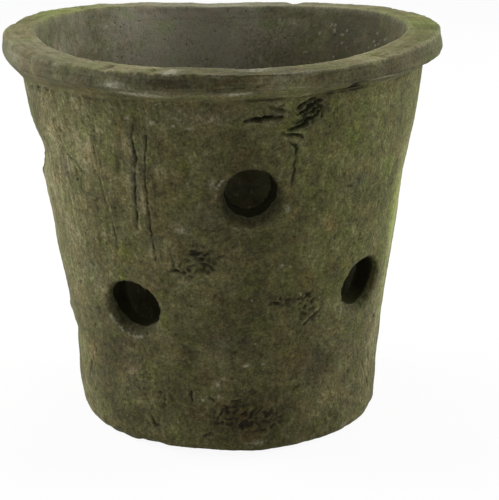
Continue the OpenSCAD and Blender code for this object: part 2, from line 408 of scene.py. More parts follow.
# Marks on the rim's top: the first at true heights, the others at its even height
TOP_DARKER = [(-4, 131, 36, 6, 0.3), (70, 134, 30, 6, 0.12)]
TOP_PALE = [(172, POT_H, 50, 9, 0.25)]
TOP_MOSS = [(-128, POT_H, 30, 9), (82, POT_H, 38, 9)]
TOP_GREY = [(172, POT_H, 60, 9)]
TOP_FAINT_GREY = [(-62, POT_H, 26, 9)]
# Length worn off each side of the rim's outer top edge and low edge, by azimuth
BROW_ROUND = [(-180, 1), (-100, 1.3), (-70, 1.7), (-42, 1.6), (-26, 0.7), (0, 0.5), (80, 0.5), (120, 0.9)]
LOW_ROUND = [(-180, 1.2), (-75, 2.2), (-30, 1.8), (0, 1), (80, 0.9), (120, 1.4)]


# Depth from which the painted shade in a cut line, and in a tear, is full
CUT_DARK = 0.6
TEAR_DARK = 0.7
# Height of the raised sides as a share of the depth: in general, of drags and of gouges
RIDGE = 0.3
DRAG_RIDGE = 0.15
GOUGE_RIDGE = 0.35
NICK_COUNT = 26


def summed(lines, az, z, ridge=RIDGE):
    """Depth, raised sides and painted shade of cut lines, all added up."""
    depth, raised, recess_shade = np.zeros((3, len(z)))
    for half_width, deep, points in lines:
        cut, sides = stroke(az, z, half_width, points)
        depth += deep * cut
        raised += deep * ridge * sides
        recess_shade = np.maximum(recess_shade, cut * min(1, deep / CUT_DARK))
    return depth, raised, recess_shade


def hidden_nicks():
    """Nicks on the side that the camera doesn't see, in the same hand as the gouges."""
    rng = np.random.default_rng(4)
    nicks = []
    for _ in range(NICK_COUNT):
        at_az = rng.uniform(100, 172) * rng.choice([-1, 1]) - 4
        at_z = rng.uniform(10, 114)
        turn, length = rng.uniform(0, np.pi), rng.uniform(2, 6)
        du, dv = length / DEG * np.cos(turn) / 2, length * np.sin(turn) / 2
        bow = rng.uniform(-1, 1)
        nick = [(at_az - du, at_z - dv), (at_az + bow, at_z + bow), (at_az + du, at_z + dv)]
        nicks.append((rng.uniform(0.6, 0.9), rng.uniform(0.4, 0.8), nick))
    return nicks


def wall_lines(az, z, p):
    """Depth, raised sides and painted shade of the lines and tears in the wall."""
    # The lines run a little unevenly
    x = az + 0.45 * noise(p, 2.2, 41) + 0.25 * noise(p, 0.9, 43)
    y = z + 0.45 * noise(p, 2.2, 42) + 0.25 * noise(p, 0.9, 44)
    drags = summed(DRAGS, x, y, DRAG_RIDGE)
    gouges = summed(GOUGES + hidden_nicks(), x, y, GOUGE_RIDGE)
    torn, torn_edges, torn_shade = tears(az, z)
    uneven = 0.8 + 0.5 * noise(p, 2.5, 45)
    depth = uneven * (drags[0] + gouges[0]) + torn
    raised = uneven * (drags[1] + gouges[1]) + torn_edges
    recess_shade = np.maximum(1.2 * uneven * np.maximum(drags[2], gouges[2]), torn_shade)
    return depth, raised * (1 - smooth(1.5 * recess_shade)), recess_shade


def tears(az, z):
    """Depth, raised edges and painted shade of the ragged tears."""
    depth, raised, recess_shade = np.zeros((3, len(z)))
    for k, (at_az, at_z, long, wide, slope, deep) in enumerate(TEARS):
        x, y = turned_by(az - at_az) * DEG, z - at_z
        near = np.nonzero(np.hypot(x, y) < 1.6 * long + 3)[0]
        x, y, a = x[near], y[near], np.radians(slope)
        along, across = x * np.cos(a) + y * np.sin(a), y * np.cos(a) - x * np.sin(a)
        # Noise drawn out along the tear, from a place of its own for each tear
        q = np.stack([along / 2.4, across / 0.9, 0 * across + 3.7 * k], axis=-1)
        reach = np.hypot(along / long, across / wide)
        ragged = (0.6 * noise(q, 1, 47) + 0.4 * noise(q, 0.5, 48)) * smooth(2 - reach)
        within = 1 - reach + ragged
        open_part = smooth(within / 0.8)
        depth[near] = np.maximum(depth[near], deep * open_part)
        edge = smooth(within / 0.5 + 1) * (1 - open_part)
        raised[near] = np.maximum(raised[near], RIDGE * deep * edge)
        recess_shade[near] = np.maximum(recess_shade[near], open_part * min(1, deep / TEAR_DARK))
    return depth, raised, recess_shade


def spots(az, z, places):
    """Strongest of the soft round marks at each point."""
    best = np.zeros(len(z))
    for place in places:
        best = np.maximum(best, spot(az, z, *place))
    return best


def field(az, z, places):
    """Sum of soft round marks, each with its own amount."""
    return sum(amount * spot(az, z, *place) for *place, amount in places)


# Meshes
def columns(front_step, back_step):
    """Azimuths of the mesh columns, closer together in front."""
    a = np.linspace(-180, 180, 7201)
    lo, hi = FRONT_SPAN
    front = rise(a, lo - SPAN_EASE, SPAN_EASE) * fall(a, hi + SPAN_EASE, SPAN_EASE)
    rate = DEG * (front / front_step + (1 - front) / back_step)
    count = np.concatenate([[0], np.cumsum((rate[1:] + rate[:-1]) / 2 * np.diff(a))])
    n = int(count[-1])
    return np.interp(np.arange(n) / n * count[-1], count, a)


def evenly(a, b, step):
    """Values from a to b about step apart, without b."""
    n = max(1, int(round(abs(b - a) / step)))
    return a + (b - a) * np.arange(n) / n


def loop(profile, count):
    """Closed profile as rows of radii and rows of heights, with count columns.

    Each entry is a corner's radius and height, the length cut off its sides to round it,
    and the spacing of rows up to the next corner. The first three may be one number or
    one for every column.
    """
    corners = [np.stack([np.broadcast_to(v, count) for v in entry[:2]]) for entry in profile]
    rows = []
    for k, (_, _, cut, step) in enumerate(profile):
        following = (k + 1) % len(profile)
        before, corner, after = corners[k - 1], corners[k], corners[following]
        back = (before - corner) / np.linalg.norm(before - corner, axis=0)
        on = (after - corner) / np.linalg.norm(after - corner, axis=0)
        if np.any(cut):
            for t in evenly(0, 1, ROUND_STEP / np.mean(cut)):
                rows.append(corner + back * cut * (1 - t) ** 2 + on * cut * t * t)
        start, end = corner + on * cut, after - on * profile[following][2]
        for t in evenly(0, 1, step / np.mean(np.linalg.norm(end - start, axis=0))):
            rows.append(start + (end - start) * t)
    return np.stack([row[0] for row in rows]), np.stack([row[1] for row in rows])


def grid_quads(rows, cols):
    """Quads of a grid that closes both ways."""
    i, j = np.mgrid[:rows, :cols]
    i2, j2 = (i + 1) % rows, (j + 1) % cols
    return np.stack([i * cols + j, i * cols + j2, i2 * cols + j2, i2 * cols + j], axis=-1)


def normals_of(p, quads):
    """Unit normals at points p from the quads round them."""
    n = np.cross(p[quads[:, 2]] - p[quads[:, 0]], p[quads[:, 3]] - p[quads[:, 1]])
    total = np.zeros_like(p)
    for k in range(4):
        for axis in range(3):
            total[:, axis] += np.bincount(quads[:, k], n[:, axis], len(p))
    return total / np.maximum(np.linalg.norm(total, axis=1, keepdims=True), 1e-12)


def at(az, r, z):
    """Points at those azimuths, radii and heights."""
    a = np.radians(az)
    return np.stack([r * np.sin(a), -r * np.cos(a), z + 0 * a], axis=-1)


def turned(profile, turns):
    """Points, quads, azimuths, radii and heights of a profile turned round the pot."""
    r, z = loop(profile, len(turns))
    az = np.broadcast_to(turns, r.shape)
    quads = grid_quads(*r.shape).reshape(-1, 4)
    return at(az, r, z).reshape(-1, 3), quads, az.ravel(), r.ravel(), z.ravel()


# Degrees to either side at which a line is read
EASING = (-9, -3, 3, 9)


def value_at(line, az):
    """Value at an azimuth of a line drawn round the pot, eased where its points meet."""
    turns, values = np.transpose(line)
    return sum(np.interp(az + turn, turns, values, period=360) for turn in EASING) / len(EASING)


def bent(p):
    """The pot's slight lean, and the rise and dip of its rim and crease."""
    a = np.radians(CAMERA_SIDE)
    right = np.array([np.cos(a), np.sin(a), 0])
    az, z = np.degrees(np.arctan2(p[:, 0], -p[:, 1])), p[:, 2]
    crease_rise = value_at(CREASE, az) - CREASE_Z
    top_rise = value_at(RIM_TOP, az) - POT_H
    low = rise(z, SAG_FROM, CREASE_Z - SAG_FROM)
    high = np.clip((z - CREASE_Z) / (POT_H - CREASE_Z), 0, 1)
    q = p + right * (LEAN * (0.5 - z / POT_H))[:, None]
    q[:, 2] = np.maximum(z + low * crease_rise + high * (top_rise - crease_rise), 0)
    return q


# Point masks that the material reads, 0 where a piece doesn't give one
MASKS = ("tone", "pit", "pale", "warm", "moss", "grey", "bore", "fibre", "grit")


def make_object(name, p, quads, out, masks):
    """A mesh object from points in mm, moved out along their normals, and point masks."""
    p = p + normals_of(p, quads) * out[:, None]
    used = np.zeros(len(p), bool)
    used[quads] = True
    index = np.cumsum(used) - 1
    p, quads = bent(p[used]) * MM, index[quads]
    mesh = bpy.data.meshes.new(name)
    mesh.vertices.add(len(p))
    mesh.vertices.foreach_set("co", p.ravel())
    mesh.loops.add(quads.size)
    mesh.loops.foreach_set("vertex_index", quads.ravel())
    mesh.polygons.add(len(quads))
    mesh.polygons.foreach_set("loop_start", np.arange(0, quads.size, 4))
    mesh.polygons.foreach_set("use_smooth", np.ones(len(quads), bool))
    mesh.update(calc_edges=True)
    mesh.set_sharp_from_angle(angle=np.radians(SHARP))
    for mask in MASKS:
        value = np.broadcast_to(masks.get(mask, 0.0), len(used))
        layer = mesh.attributes.new(mask, "FLOAT", "POINT")
        layer.data.foreach_set("value", np.clip(value[used], 0, 1).astype(np.float32))
    obj = bpy.data.objects.new(name, mesh)
    bpy.context.scene.collection.objects.link(obj)
    return obj


def dress(obj, node, material):
    """Gives a piece its material, hides the CAD node that it stands for, and attaches it to the body."""
    obj.data.materials.append(material)
    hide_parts(node)
    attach(obj, "root")


# Air holes in the wall's grid
def perimeter(mu, mv):
    """Column and row offsets round a block of cells, anticlockwise seen from outside."""
    across, up = np.arange(-mu, mu), np.arange(-mv, mv)
    du = np.concatenate([across, np.full(2 * mv, mu), -across, np.full(2 * mv, -mu)])
    dv = np.concatenate([np.full(2 * mu, -mv), up, np.full(2 * mu, mv), -up])
    return du, dv


def past_mouth(x, y, width, height):
    """About how far outside a mouth's ellipse a point lies."""
    return (np.hypot(2 * x / width, 2 * y / height) - 1) * (width + height) / 4


def lean_of(face_r, z):
    """Angle by which a face of the wall leans outward at height z."""
    return np.arctan(face_r(z + 0.5) - face_r(z - 0.5))


def open_mouth(az, r, z, row, sign, col, block, centre, size, lips, face_r):
    """Draws the grid into rings round one mouth of a hole, and rounds its lip.

    az, r and z are the grid's arrays, changed in place. row and col are the block's
    middle, and its edge is the mouth. sign is 1 where rows run up, -1 where they run down.
    """
    mu, mv = block
    at_az, at_z = centre
    width, height = size
    reach_u, reach_v = int(np.ceil(HOLE_REACH * mu)), int(np.ceil(HOLE_REACH * mv))
    dv, du = np.mgrid[-reach_v:reach_v + 1, -reach_u:reach_u + 1]
    rows, cols = row + sign * dv, (col + du) % az.shape[1]
    c = np.maximum(np.abs(du) / mu, np.abs(dv) / mv)
    out = np.clip((c - 1) / (HOLE_REACH - 1), 0, 1)
    spread = 1 + (HOLE_REACH - 1) * out ** 1.4
    theta = np.arctan2(dv / mv, du / mu)
    centre_r = face_r(at_z)
    lean = lean_of(face_r, at_z)
    x = width / 2 * spread * np.cos(theta)
    y = height / 2 * spread * np.sin(theta) * np.cos(lean)
    ease = smooth(out)
    turn = np.degrees(x / centre_r) * (1 - ease) + turned_by(az[rows, cols] - at_az) * ease
    new_z = (at_z + y) * (1 - ease) + z[rows, cols] * ease
    x, y = np.radians(turn) * centre_r, (new_z - at_z) / np.cos(lean)
    round_way = np.arctan2(y, x)
    lip = lips[1] + (lips[0] - lips[1]) * rise(np.sin(round_way), -0.8, 1.6)
    short = np.clip(lip - np.maximum(past_mouth(x, y, width, height), 0), 0, None)
    sunk = lip - np.sqrt(np.maximum(lip * lip - short * short, 0))
    az[rows, cols] = at_az + turn
    r[rows, cols] = face_r(new_z) - sign * sunk * np.cos(lean)
    z[rows, cols] = new_z + sign * sunk * np.sin(lean)


# Parts of the wall that a point may belong to
OUTSIDE, INSIDE, BORE, JOINT = range(4)


def wall_mesh():
    """Points, quads and the part of the wall that each point belongs to."""
    tongue_r = inner_r(CREASE_Z) + TONGUE_T
    heel = [(outer_r(HEEL_R) + HEEL_R * (np.cos(a) - 1), HEEL_R * (1 + np.sin(a)))
            for a in np.radians(evenly(-90, 0, HEEL_TURN))]
    outer_z = evenly(HEEL_R, CREASE_Z, ROW_STEP)
    inner_z = evenly(TONGUE_Z, 0, INNER_STEP)
    top = [(r, CREASE_Z) for r in evenly(outer_r(CREASE_Z), tongue_r, JOINT_STEP)]
    top += [(tongue_r, h) for h in evenly(CREASE_Z, TONGUE_Z, JOINT_STEP)]
    top += [(r, TONGUE_Z) for r in evenly(tongue_r, inner_r(TONGUE_Z), TONGUE_STEP)]
    bottom = [(r, 0) for r in evenly(inner_r(0), heel[0][0], JOINT_STEP)]
    profile = np.array(heel + [(outer_r(h), h) for h in outer_z] + top
                       + [(inner_r(h), h) for h in inner_z] + bottom)
    first_outer, first_inner = len(heel), len(heel) + len(outer_z) + len(top)
    turns = columns(FRONT_STEP, BACK_STEP)
    shape = (len(profile), len(turns))
    az = np.broadcast_to(turns, shape).copy()
    r, z = (np.broadcast_to(profile[:, k:k + 1], shape).copy() for k in (0, 1))
    part = np.full(shape, JOINT)
    part[:first_outer + len(outer_z)] = OUTSIDE
    part[first_inner:first_inner + len(inner_z)] = INSIDE

    quads = grid_quads(*shape)
    kept = np.ones(shape, bool)
    rings = []
    for at_az, at_z, width, height, in_width, in_height, lip_top, lip_low in HOLES:
        at_az = turned_by(at_az)
        lean = lean_of(outer_r, at_z)
        through = (outer_r(at_z) - inner_r(at_z)) * np.cos(lean)
        in_z = at_z + through * np.sin(lean)
        col = np.argmin(np.abs(turned_by(turns - at_az)))
        col_step = np.mean(np.diff(turns[col - 8:col + 8])) * np.pi / 180 * outer_r(at_z)
        mu = int(round(HOLE_BLOCK * width / col_step))
        mv = int(round(HOLE_BLOCK * height / ROW_STEP))
        row_out = first_outer + np.argmin(np.abs(outer_z - at_z))
        row_in = first_inner + np.argmin(np.abs(inner_z - in_z))
        open_mouth(az, r, z, row_out, 1, col, (mu, mv), (at_az, at_z), (width, height),
                   (lip_top, lip_low), outer_r)
        open_mouth(az, r, z, row_in, -1, col, (mu, mv), (at_az, in_z), (in_width, in_height),
                   (BURR_R, BURR_R), inner_r)
        du, dv = perimeter(mu, mv)
        cols = (col + du) % shape[1]
        rings.append(((row_out + dv) * shape[1] + cols, (row_in - dv) * shape[1] + cols))
        block = (np.arange(col - mu, col + mu) % shape[1])[None, :]
        kept[np.arange(row_out - mv, row_out + mv)[:, None], block] = False
        kept[np.arange(row_in - mv, row_in + mv)[:, None], block] = False

    p = at(az, r, z).reshape(-1, 3)
    quads, part = quads[kept], part.ravel()
    for outer_ring, inner_ring in rings:
        n = len(outer_ring)
        share = (np.arange(1, BORE_ROWS) / BORE_ROWS)[:, None, None]
        bore = p[outer_ring] * (1 - share) + p[inner_ring] * share
        ids = len(p) + np.arange((BORE_ROWS - 1) * n).reshape(-1, n)
        ids = np.vstack([outer_ring, ids, inner_ring])
        here, on = ids[:-1], ids[1:]
        tube = [here, np.roll(here, -1, 1), np.roll(on, -1, 1), on]
        quads = np.vstack([quads, np.stack(tube, axis=-1).reshape(-1, 4)])
        p = np.vstack([p, bore.reshape(-1, 3)])
        part = np.concatenate([part, np.full((BORE_ROWS - 1) * n, BORE)])
    return p, quads, part


def in_a_hole(az, r, z):
    """How near each point lies to a hole's mouth: 1 inside it, fading out round the mouth."""
    best = np.zeros(len(z))
    for at_az, at_z, width, height, *_ in HOLES:
        x, y = np.radians(turned_by(az - at_az)) * r, z - at_z
        # The fade reaches furthest under the hole, where the painted shade below the mouth is widest
        lip = 1 + 2.6 * smooth(0.5 - 1.4 * y / height)
        best = np.maximum(best, smooth(1 - past_mouth(x, y, width, height) / lip))
    return best


def crease_shade(az):
    """How strongly the painted shade in the crease under the rim shows at each azimuth."""
    return np.max([s * bell(turned_by(az - a), w) for a, w, s in CREASE_SHADE], axis=0)


# Grain of each piece: size of each layer of noise, and how high it stands
WALL_GRAIN = [(34, 0.35), (9, 0.15), (3.2, 0.08), (1.4, 0.06)]
RIM_GRAIN = [(30, 0.28), (9, 0.2), (3, 0.1), (1.3, 0.06)]
FLOOR_GRAIN = [(12, 0.3), (4, 0.12), (1.8, 0.05)]
# Greatest height or depth of each kind of wear
SMEAR_H = 0.12
WALL_PIT_DEPTH = 0.22
RIM_PIT_DEPTH = 0.15
CRUMB_DEPTH = 0.5
FOOT_WEAR = 0.6
CHIP_DEPTH = 0.9
GAP_DEPTH = 1.6
NICK_DEPTH = 0.7
# How far the rim sinks into the wall, and the length cut off at its inner edge
RIM_SUNK = 0.5
INNER_ROUND = 0.8
# Radius inside which the nick in the rim lies
NICK_R = 68


def build_wall(material):
    """The pierced wall, with its torn and crumbled clay, its stains, and painted light and shade."""
    p, quads, part = wall_mesh()
    az, r, z = np.degrees(np.arctan2(p[:, 0], -p[:, 1])), np.hypot(p[:, 0], p[:, 1]), p[:, 2]
    outside, inside, bore = part == OUTSIDE, part == INSIDE, part == BORE
    near_hole = in_a_hole(az, r, z)
    (_, mid, small, fine), out = grained(p, WALL_GRAIN, 1)
    drawn = noise(p * [1, 1, 0.1], 2.2, 5)
    pits = rise(noise(p, 2.4, 6), 0.55, 0.3)
    depth, raised, recess_shade = wall_lines(az, z, p)
    rough = np.clip(field(az, z, CRUMBLED), 0, 1)
    cracks = fall(np.abs(noise(p, 3, 49)), 0.14, 0.14) * rise(noise(p, 5, 50), -0.15, 0.3)
    crumbs = rough * np.maximum(rise(noise(p, 1.5, 51), -0.05, 0.45), 0.8 * cracks)
    left = fall(az, -14, 20) * rise(az, -85, 20) * rise(z, 50, 30)
    worn = fall(z, 6, 6) * rise(noise(p, 6, 7), 0, 0.7)

    out += SMEAR_H * drawn * left - WALL_PIT_DEPTH * pits
    out += rough * (0.25 * small + 0.2 * fine) - CRUMB_DEPTH * crumbs
    out += near_hole * (0.3 * small + 0.2 * fine)
    out += outside * (field(az, z, LUMPS) - depth + raised - FOOT_WEAR * worn)
    out = np.where(bore, 0.25 * mid + 0.2 * small + 0.08 * fine, out)
    # Joints keep their form, and the inside eases into the one under the rim
    out *= np.where(part == JOINT, 0, np.where(inside, fall(z, TONGUE_Z, 3), 1))

    # Painted shade in the crease under the rim
    crease = rise(z, CREASE_Z - 1.8, 1.4) * crease_shade(az) * (0.6 + 0.6 * rise(small, -0.4, 1))
    # Painted shade in the cuts, tears, pits, crumbs and crease, with the crumbled patches also darker in
    # themselves
    marks = np.max([recess_shade, 0.5 * pits, crease, 0.28 * rough + 0.75 * crumbs], axis=0)
    lip_lines = summed(PALE_LINES, az, z)[0] * rise(small + fine, -0.6, 1)
    flecks = rise(noise(p, 1.6, 52), 0.6, 0.15)
    mossy = rise(az, -10, 40) * rise(z, 30, 40)
    # Painted shade in the holes' bores, near black and darker further in
    into_bore = (outer_r(z) - r) / (outer_r(z) - inner_r(z))
    in_bore = 0.8 + 0.3 * smooth(2 * into_bore) - 0.3 * field(az, z, BORE_PALER)
    # Painted shade, darker further down inside the pot
    deep_in = 0.12 * fall(z, 112, 34) * inside
    masks = {
        # Tones of the film outside, with the painted shade and light in TONES, and painted light and
        # shade inside
        "tone": 0.5 + np.where(outside, field(az, z, TONES), inside * field(az, z, INNER_TONES)),
        "pit": np.where(outside, marks, 0.3 * pits),
        "pale": np.where(outside, field(az, z, PALE_SPOTS) + lip_lines + 0.5 * raised,
                         inside * (0.6 * flecks + field(az, z, INNER_PALE))),
        "warm": outside * spots(az, z, WARM_SPOTS),
        "moss": np.where(outside, np.maximum(spots(az, z, MOSS_SPOTS), 0.35 * mossy),
                         0.8 * inside * spots(az, z, INNER_MOSS)),
        "grey": np.where(outside, 0.7 * spots(az, z, GREY_SPOTS), 0.9 * inside),
        # Painted shade in the bores, round the holes' mouths and deep inside
        "bore": np.select([bore, outside], [in_bore, 0.55 * near_hole],
                          np.maximum(deep_in, 0.9 * near_hole)),
        "fibre": np.where(outside, 0.25 + 0.4 * left, 0.1),
        "grit": np.where(outside, 1, 0.45),
    }
    obj = make_object("pot_wall", p, quads, out, masks)
    dress(obj, "wall", material)


def build_rim(material):
    """The thick band round the top, with its face's low edge at its own height all round."""
    turns = columns(FRONT_STEP, BACK_STEP)
    crease, top = value_at(CREASE, turns), value_at(RIM_TOP, turns)
    share = (value_at(FACE_LOW, turns) - crease) / (top - crease)
    face_low = CREASE_Z + share * (POT_H - CREASE_Z)
    wall_r, tongue_r = outer_r(CREASE_Z) - RIM_SUNK, inner_r(CREASE_Z) + TONGUE_T
    brow_r, mouth_r = RIM_R - BAND_LEAN, inner_r(POT_H)
    lid = CREASE_Z + 0.1
    # Where the crease has little painted shade, the rim's clay is smeared down over the wall
    smear = np.clip(1 - crease_shade(turns), 0, 1)
    profile = [
        (wall_r - 0.4 * smear, CREASE_Z - 2 * smear, 0, RIM_STEP),
        (wall_r + 0.3 + 1.2 * smear, CREASE_Z + 0.3, 0.2 + 0.9 * smear, RIM_STEP),
        (RIM_R, face_low, value_at(LOW_ROUND, turns), RIM_STEP),
        (brow_r, POT_H, value_at(BROW_ROUND, turns), RIM_TOP_STEP),
        (mouth_r, POT_H, INNER_ROUND, RIM_INNER_STEP),
        (inner_r(TONGUE_Z), TONGUE_Z, 0, HIDDEN_STEP), (tongue_r, TONGUE_Z, 0, HIDDEN_STEP),
        (tongue_r, lid, 0, HIDDEN_STEP), (wall_r, lid + 0.1, 0, HIDDEN_STEP),
    ]
    p, quads, az, r, z = turned(profile, turns)
    true_z = bent(p)[:, 2]

    from_brow, from_mouth = (np.hypot(r - edge_r, z - POT_H) for edge_r in (brow_r, mouth_r))
    outside = r > RIM_R - 7.5
    on_face = rise(r, RIM_R - 2.5, 1) * fall(z, POT_H - 0.5, 1)
    on_top = rise(z, POT_H - 1.2, 1)
    inner_face = fall(r, mouth_r + 0.8, 0.7) * fall(z, POT_H - 0.1, 0.7)
    edge, inner_edge = bell(from_brow, 1.6), bell(from_mouth, 1.8)
    low_edge = bell(r - RIM_R, 2) * fall(z, POT_H - 2.5, 1.5)
    # Where the outer top edge is still sharp
    crisp = rise(az, 8, 20) * fall(az, 92, 20)

    # Relief fades out where the band meets the wall, outside and inside
    shown = np.where(r < tongue_r + 0.4, rise(z, TONGUE_Z, 2.5),
                     np.where(z > POT_H - 2, 1, rise(r, wall_r - 0.5, 2)))
    (_, mid, small, _), out = grained(p, RIM_GRAIN, 21)
    pits = rise(noise(p, 2.2, 28), 0.55, 0.3)
    smears = drawn_round(az, z, 25, 1, 1.6) + 0.6 * drawn_round(az, r, 26, 2, 1.8)
    chips = rise(noise(p, 5, 27), 0.35, 0.5)
    depth, raised, recess_shade = summed(RIM_LINES, az, true_z)
    gaps = outside * spots(az, true_z, RIM_GAPS)
    inner_nick = (r < NICK_R) * spots(az, true_z, RIM_NICKS)
    out += SMEAR_H * smears - RIM_PIT_DEPTH * pits
    out -= chips * (0.6 * edge * (1 - 0.8 * crisp) + 0.4 * inner_edge + 0.35 * low_edge)
    out += outside * (field(az, true_z, RIM_LUMPS) - depth + 0.3 * raised)
    out -= CHIP_DEPTH * outside * spots(az, true_z, RIM_CHIPS) + GAP_DEPTH * gaps
    out -= NICK_DEPTH * inner_nick

    # Paler where the rounded top edge is worn, and a thin painted highlight along its sharp stretch
    line = bell(from_brow, 0.7)
    worn = 0.35 * edge * rise(mid, -0.5, 1) * (1 - crisp) + 0.35 * line * crisp
    # Painted shade along the band's foot, where it meets the wall under the crease
    seam = fall(r, wall_r + 1.4, 1.2) * (z < CREASE_Z + 2) * crease_shade(az) ** 2
    drawn = np.where(on_top > 0.5, drawn_round(az, r, 54, 1, 0.9), drawn_round(az, z, 53, 1, 0.8))
    streaks = 0.13 * drawn + on_top * (0.18 - field(az, true_z, TOP_DARKER))
    masks = {
        # The inner face takes the same painted light and shade as the wall's inside
        "tone": 0.5 + streaks * (1 - inner_face) + inner_face * field(az, z, INNER_TONES)
        + outside * (1 - on_top) * field(az, true_z, RIM_TONES),
        # Painted shade in the band's cracks, pits and the gap under it, and along its foot
        "pit": np.max([recess_shade * outside, 0.5 * pits, gaps], axis=0)
        + 0.8 * seam * rise(small, -0.5, 1),
        "pale": worn + 0.2 * inner_edge + 0.8 * inner_nick + outside * spots(az, true_z, RIM_PALE)
        + on_top * field(az, z, TOP_PALE),
        "warm": spots(az, true_z, RIM_WARM),
        "moss": on_top * (1 - inner_face) * spots(az, z, TOP_MOSS)
        + 0.5 * on_face * spots(az, true_z, FACE_MOSS),
        "grey": np.where(z > POT_H - 0.4, spots(az, z, TOP_GREY), 0.9 * inner_face)
        + on_face * (0.4 + 0.4 * fall(az, -10, 20))
        + 0.5 * on_top * spots(az, z, TOP_FAINT_GREY),
        "grit": 0.75 - 0.4 * rise(np.abs(az), 25, 40),
    }
    obj = make_object("pot_rim", p, quads, shown * out, masks)
    dress(obj, "rim_band", material)


def build_floor(material):
    """The slab across the foot, smoothed into the wall, with its drain hole."""
    turns = columns(FLOOR_UNDER_STEP, FLOOR_UNDER_STEP)
    profile = [
        (DRAIN_R, 0, 1.5, FLOOR_UNDER_STEP),
        (inner_r(0), 0, 0, FLOOR_EDGE_STEP),
        (inner_r(SEAT_H), SEAT_H, 0, FLOOR_STEP),
        (inner_r(FLOOR_T) - 1.5, FLOOR_T, CORNER_R - 0.5, FLOOR_STEP),
        (DRAIN_R, FLOOR_T, 1.8, FLOOR_STEP),
    ]
    p, quads, _, r, z = turned(profile, turns)
    quads = quads[:, ::-1]
    (_, uneven, _), out = grained(p, FLOOR_GRAIN, 31)
    # The edge keeps to the wall's inner face
    out = np.where(r > inner_r(z) - 1, 0, out)
    # Painted shade where the slab's surface lies low, and round the drain hole
    masks = {
        "tone": 0.5 - 0.2 * rise(z, 2, 4), "pit": 0.4 * smooth(-uneven), "grey": 0.3,
        "bore": bell(r - DRAIN_R, 1.5), "grit": 0.8,
    }
    obj = make_object("pot_floor", p, quads, out, masks)
    dress(obj, "floor_slab", material)


# Materials
def srgb(r, g, b):
    """Linear colour from 0-255 sRGB values."""
    c = np.array([r, g, b]) / 255
    c = np.where(c <= 0.04045, c / 12.92, ((c + 0.055) / 1.055) ** 2.4)
    return (*c, 1)


def bare_material(name):
    """A new material with an empty node tree."""
    material = bpy.data.materials.new(name)
    material.use_nodes = True
    material.node_tree.nodes.clear()
    return material


class Shader:
    """Short calls for building a node tree. A value may also be another node's socket."""

    def __init__(self, tree):
        self.tree = tree

    def add(self, kind, inputs=None, **settings):
        node = self.tree.nodes.new(kind)
        for name, value in settings.items():
            setattr(node, name, value)
        for name, value in (inputs or {}).items():
            self.put(node.inputs[name], value)
        return node

    def put(self, socket, value):
        if isinstance(value, bpy.types.NodeSocket):
            self.tree.links.new(value, socket)
        else:
            socket.default_value = value

    def math(self, operation, a, b=0.0, clamp=False):
        node = self.add("ShaderNodeMath", {0: a, 1: b}, operation=operation, use_clamp=clamp)
        return node.outputs[0]

    def scaled(self, vector, *scale):
        return self.add("ShaderNodeMapping", {"Vector": vector, "Scale": scale}).outputs["Vector"]

    def noise(self, place, size, detail, rough=0.55, shift=0.0, stretch=1):
        """Noise with features of that size, drawn out upright by stretch."""
        if stretch != 1:
            place = self.scaled(place, 1, 1, 1 / stretch)
        inputs = {"Vector": place, "W": shift, "Scale": 1 / size, "Detail": detail, "Roughness": rough}
        return self.add("ShaderNodeTexNoise", inputs, noise_dimensions="4D").outputs[0]

    def between(self, value, low, high, to_low=0.0, to_high=1.0):
        """Eases from to_low to to_high as the value goes from low to high."""
        inputs = {"Value": value, "From Min": low, "From Max": high, "To Min": to_low,
                  "To Max": to_high}
        node = self.add("ShaderNodeMapRange", inputs, interpolation_type="SMOOTHSTEP")
        return node.outputs["Result"]

    def ramp(self, value, stops):
        node = self.add("ShaderNodeValToRGB", {"Fac": value})
        elements = node.color_ramp.elements
        while len(elements) < len(stops):
            elements.new(0.5)
        for element, (position, colour) in zip(elements, stops):
            element.position = position
            element.color = colour
        return node.outputs["Color"]

    def mask(self, name):
        return self.add("ShaderNodeAttribute", attribute_name=name).outputs["Fac"]

    def mix(self, share, a, b, blend="MIX"):
        node = self.add("ShaderNodeMix", {0: share, 6: a, 7: b}, data_type="RGBA", blend_type=blend)
        return node.outputs[2]

    def tinted(self, share, colour, tint):
        """Colour multiplied by a tint, by that share."""
        return self.mix(share, colour, self.mix(1.0, colour, tint, "MULTIPLY"))


# Tones of the aged surface, from the darkest film to bare worn clay
FILM_TONES = [(0.0, srgb(42, 40, 22)), (0.3, srgb(66, 63, 37)), (0.6, srgb(94, 91, 58)),
              (1.0, srgb(142, 137, 103))]
# Pale clay, also used for painted light; dark specks, also used for painted shade in hollows; near black
# for the painted shade in holes
LIME_AND_PAINTED_LIGHT = srgb(168, 165, 142)
DARK_SPECKS_AND_SHADE = srgb(24, 22, 11)
HOLLOW_SHADE = srgb(12, 11, 6)
# Tints, as shares of red, green and blue: two faint ones in patches, and three for marks
GREEN_TINT = (0.94, 1.05, 0.76, 1)
WARM_TINT = (1.11, 0.97, 0.9, 1)
MOSS_TINT = (0.9, 1.08, 0.58, 1)
RUST_TINT = (1.14, 0.96, 0.88, 1)
GREY_TINT = (0.98, 1.0, 1.4, 1)
# Layers of noise in the clay: size in mm, detail, roughness, shift and stretch
CLAY_LAYERS = [
    (24, 3), (7, 4, 0.6, 3), (2.4, 4, 0.68, 5), (0.8, 3, 0.6, 7), (1.6, 3, 0.6, 9, 8),
    (7, 4, 0.6, 15), (4, 4, 0.6, 13), (1.3, 2, 0.5, 17), (1.2, 2, 0.5, 19),
]
# Bump that the finest layers add
BUMP_STRENGTH = 0.7
BUMP_HEIGHT = 0.6


